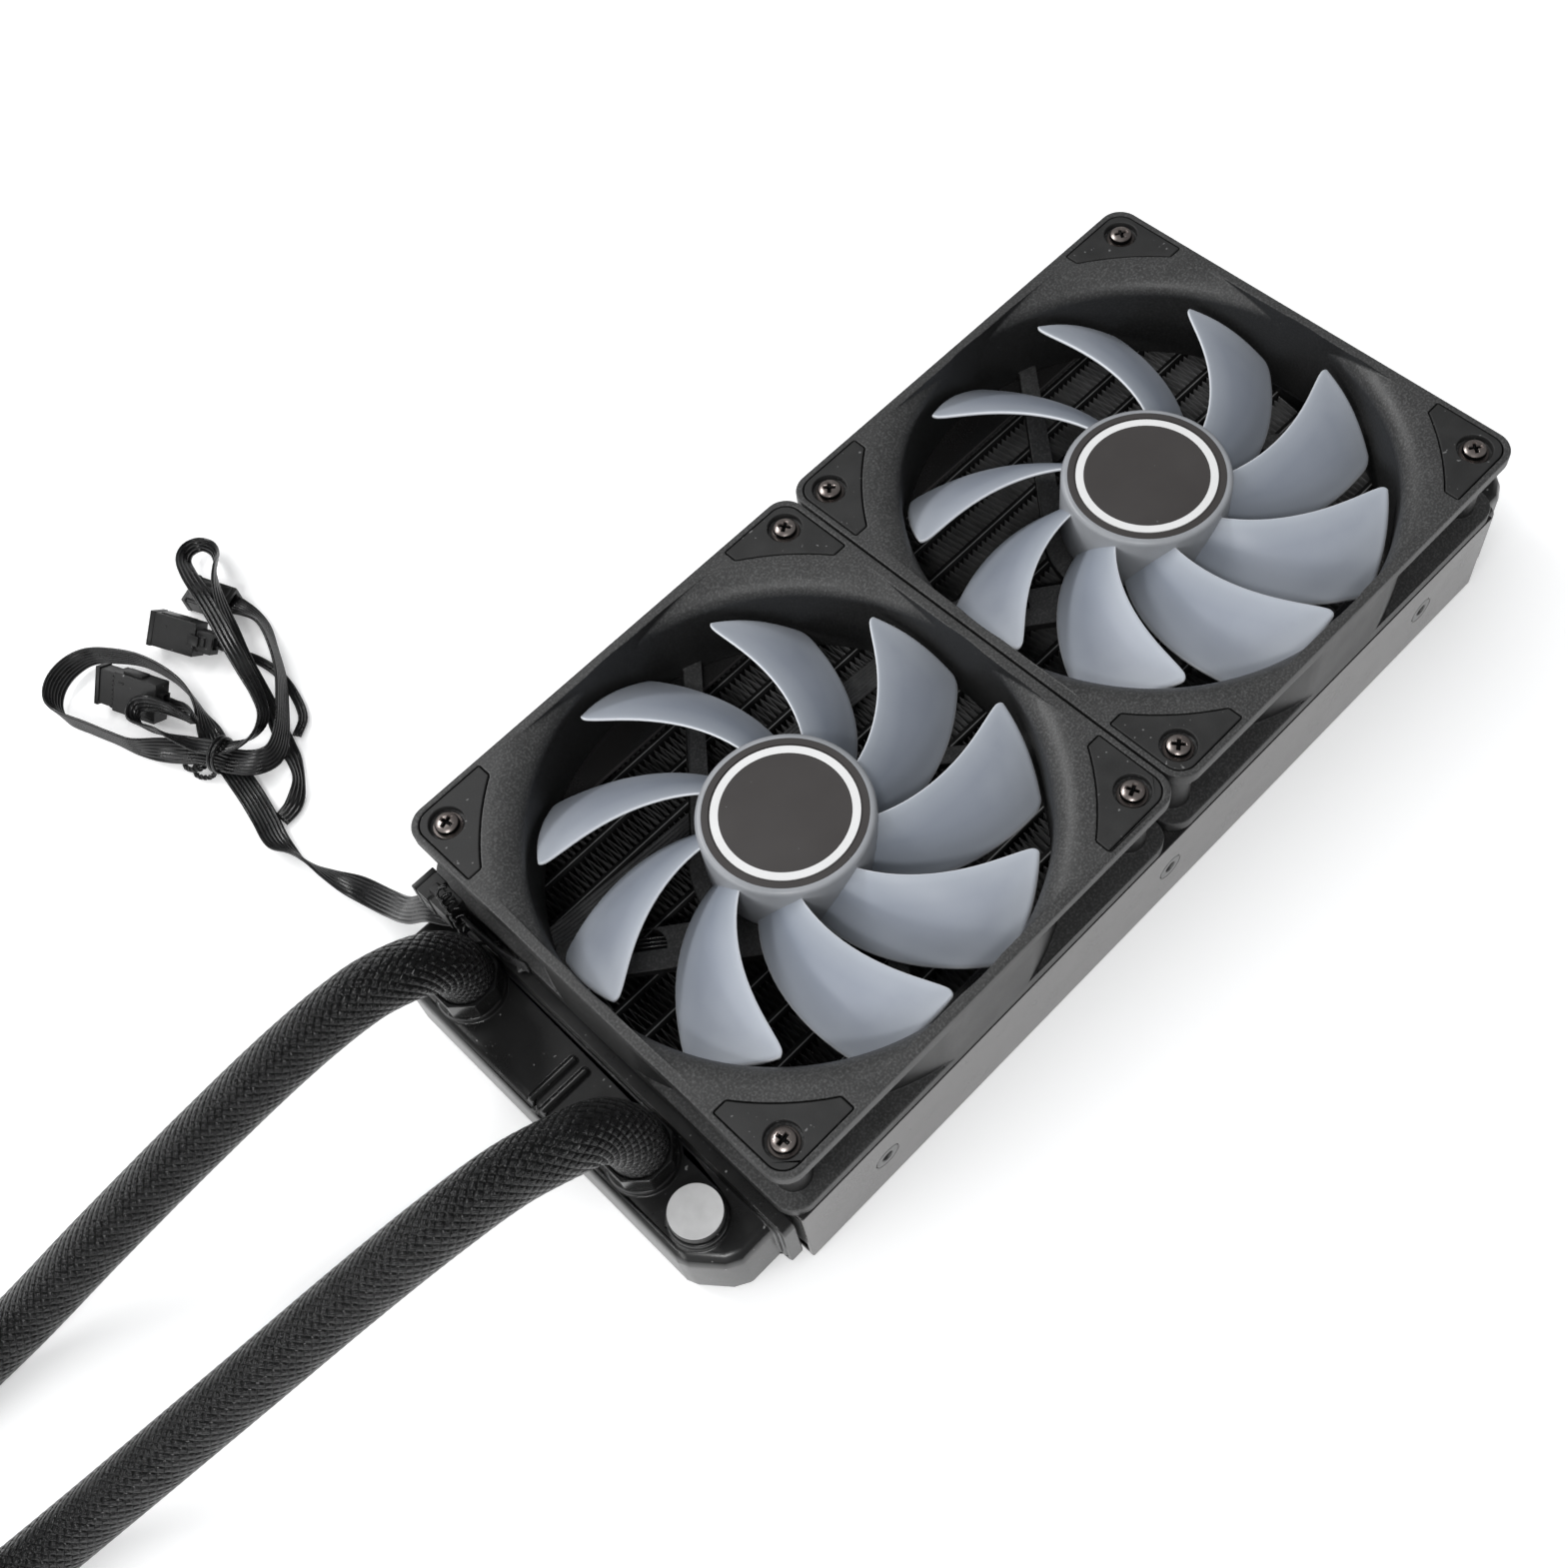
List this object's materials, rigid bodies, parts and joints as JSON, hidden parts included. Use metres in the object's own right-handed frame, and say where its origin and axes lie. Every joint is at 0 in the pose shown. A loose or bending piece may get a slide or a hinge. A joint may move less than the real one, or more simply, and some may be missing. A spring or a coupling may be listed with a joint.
{
  "type": "all in one cpu liquid cooler",
  "caption": "Liquid cooler for a processor: black radiator with two bladed fans, two sleeved hoses to a round pump head, and flat fan leads tied in loops.",
  "frame": {"origin": "centre of the outer screw pattern on the radiator's underside", "axes": "+X along the radiator away from the hose ports, +Z from the radiator up through the fans"},
  "size_m": [0.701, 0.2628, 0.0592],
  "materials": {
    "radiator_black": "satin black",
    "core_black": "matte black",
    "rail_black": "satin dark grey",
    "frame_plastic": "fine-grained matte",
    "pad_rubber": "matte",
    "blade_plastic": "frosted translucent",
    "disc_film": "satin",
    "ring_white": "satin",
    "label_paper": "matte",
    "screw_steel": "dark nickel",
    "steel": "drawn",
    "magnet": "matte",
    "bronze": "sintered",
    "winding": "enamelled",
    "board": "solder mask",
    "hose_sleeve": "braided sleeve",
    "ferrule_black": "gloss black",
    "cable_black": "satin",
    "plug_black": "moulded",
    "copper": "machined",
    "pump_plastic": "moulded",
    "rotor_plastic": "moulded",
    "seal_rubber": "matte"
  },
  "bodies": {
    "cooler": {"coolant_tubes": "core_black", "cooling_fins": "core_black", "side_rail_front": "rail_black", "side_rail_back": "rail_black", "header_plate_ports": "radiator_black", "header_plate_return": "radiator_black", "port_tank": "radiator_black", "return_tank": "radiator_black", "fill_plug": "radiator_black", "fill_plug_seal": "seal_rubber", "fill_plug_label": "label_paper", "tank_barbs": "steel", "rail_bushes": "steel", "hose_supply": "hose_sleeve", "hose_return": "hose_sleeve", "hose_ferrules": "ferrule_black", "fan_screws": "screw_steel", "fan_washers": "screw_steel", "fan_link_ribbon": "cable_black", "lead_joiner": "plug_black", "main_ribbon": "cable_black", "speed_lead": "cable_black", "light_lead": "cable_black", "speed_plug": "plug_black", "light_plug": "plug_black", "light_socket": "plug_black", "wire_tie": "cable_black", "cold_plate": "copper", "pump_body": "pump_plastic", "pump_cover": "pump_plastic", "pump_shaft": "steel", "pump_stator": "winding", "pump_barbs": "steel", "bracket": "steel", "bracket_screws": "steel", "fan_a_frame": "frame_plastic", "fan_a_pads": "pad_rubber", "fan_a_bearing": "bronze", "fan_a_board": "board", "fan_a_stator": "winding", "fan_b_frame": "frame_plastic", "fan_b_pads": "pad_rubber", "fan_b_bearing": "bronze", "fan_b_board": "board", "fan_b_stator": "winding"},
    "fan_a_rotor": {"fan_a_impeller": "blade_plastic", "fan_a_yoke": "steel", "fan_a_magnet": "magnet", "fan_a_shaft": "steel", "fan_a_disc": "disc_film", "fan_a_ring": "ring_white"},
    "fan_b_rotor": {"fan_b_impeller": "blade_plastic", "fan_b_yoke": "steel", "fan_b_magnet": "magnet", "fan_b_shaft": "steel", "fan_b_disc": "disc_film", "fan_b_ring": "ring_white"},
    "pump_rotor": {"pump_impeller": "rotor_plastic"}
  },
  "joints": [
    {"name": "fan_a_spin", "type": "hinge", "parent": "cooler", "child": "fan_a_rotor", "pos_m": [-0.06, 0, 0.04], "axis": [0, 0, 1], "continuous": true},
    {"name": "fan_b_spin", "type": "hinge", "parent": "cooler", "child": "fan_b_rotor", "pos_m": [0.06, 0, 0.04], "axis": [0, 0, 1], "continuous": true},
    {"name": "pump_spin", "type": "hinge", "parent": "cooler", "child": "pump_rotor", "pos_m": [-0.52, 0.032, 0.02], "axis": [0, 0, 1], "continuous": true}
  ]
}
